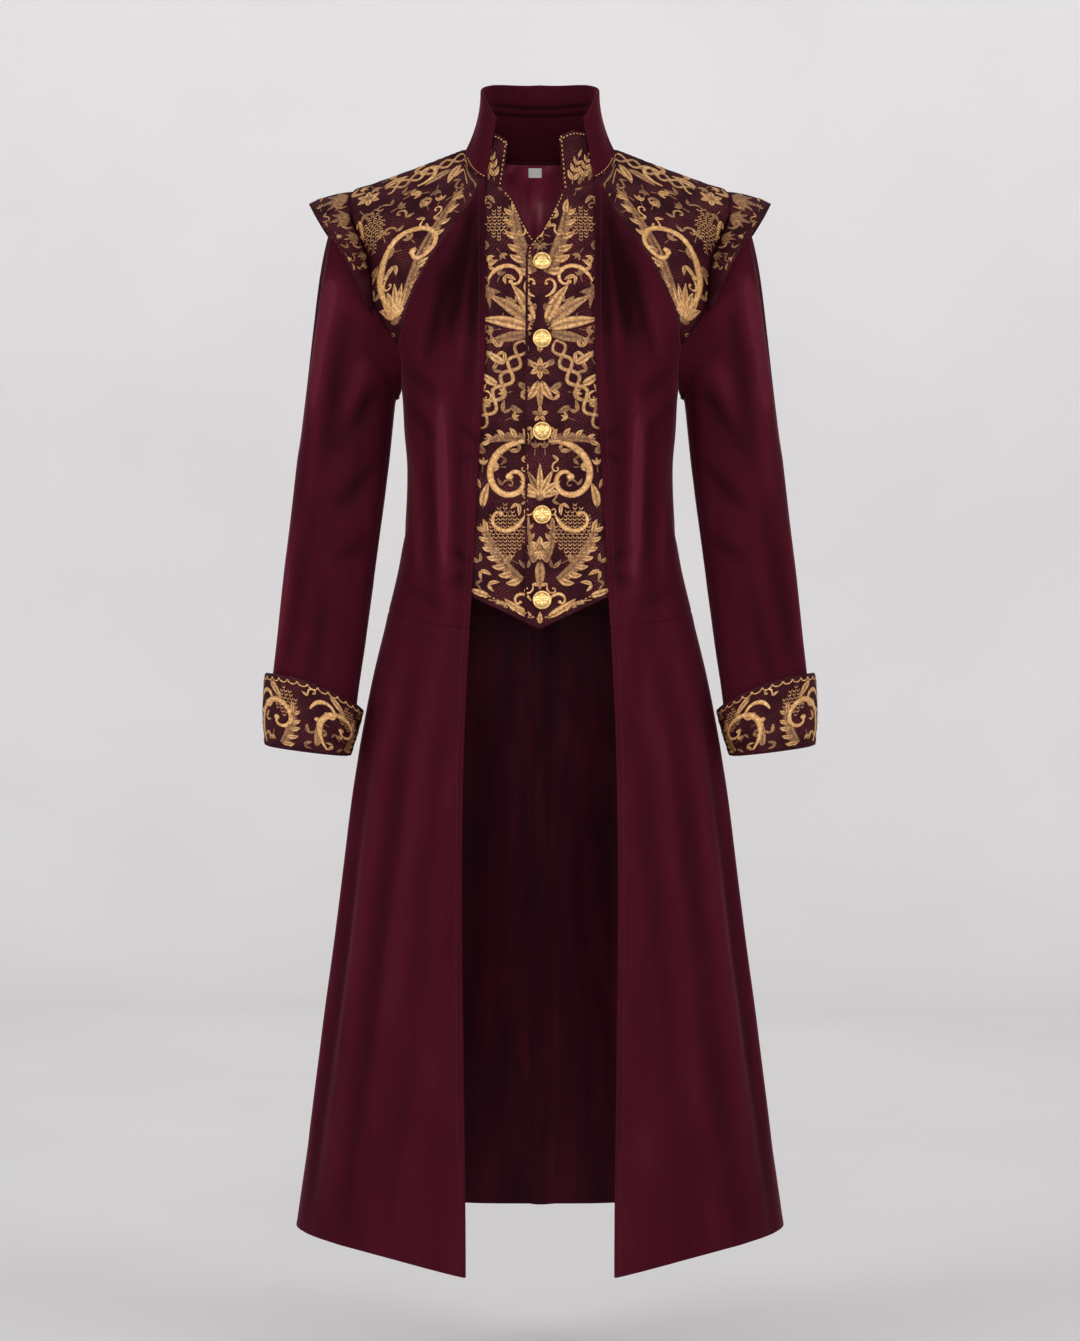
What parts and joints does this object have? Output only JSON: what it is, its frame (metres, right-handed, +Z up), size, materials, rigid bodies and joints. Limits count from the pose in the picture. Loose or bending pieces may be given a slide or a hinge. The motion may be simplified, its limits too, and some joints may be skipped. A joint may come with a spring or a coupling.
{
  "type": "long coat worn on no wearer",
  "caption": "Long velvet coat with a stand collar, brocade shoulders with stiff wings, turned-back cuffs and a set-in buttoned vest, in its worn form.",
  "frame": {"origin": "midway between the two neck points, where the wearer's shoulders hold the coat", "axes": "+Z up, -Y to the coat's front, +X to the wearer's left"},
  "size_m": [0.6424, 0.4182, 1.3658],
  "materials": {
    "velvet": "burgundy velvet with a short soft pile and a pale sheen",
    "brocade": "dark aubergine brocade with raised gold and bronze scrolls and leaves",
    "satin": "burgundy satin lining, smooth and glossy",
    "label": "plain white cotton tape, blank",
    "gold": "polished gold-coloured metal"
  },
  "bodies": {
    "root": {"front_bodice_left": "velvet", "front_bodice_right": "velvet", "back_bodice_left": "velvet", "back_bodice_right": "velvet", "front_skirt_left": "velvet", "front_skirt_right": "velvet", "back_skirt_left": "velvet", "back_skirt_right": "velvet", "yoke_left": "brocade", "yoke_right": "brocade", "wing_left": "brocade", "wing_right": "brocade", "upper_sleeve_left": "velvet", "upper_sleeve_right": "velvet", "under_sleeve_left": "velvet", "under_sleeve_right": "velvet", "cuff_left": "brocade", "cuff_right": "brocade", "vest_left": "brocade", "vest_right": "brocade", "vest_collar_left": "brocade", "vest_collar_right": "brocade", "collar": "velvet", "back_lining": "satin", "label": "label", "button_1": "gold", "button_2": "gold", "button_3": "gold", "button_4": "gold", "button_5": "gold"}
  },
  "joints": []
}
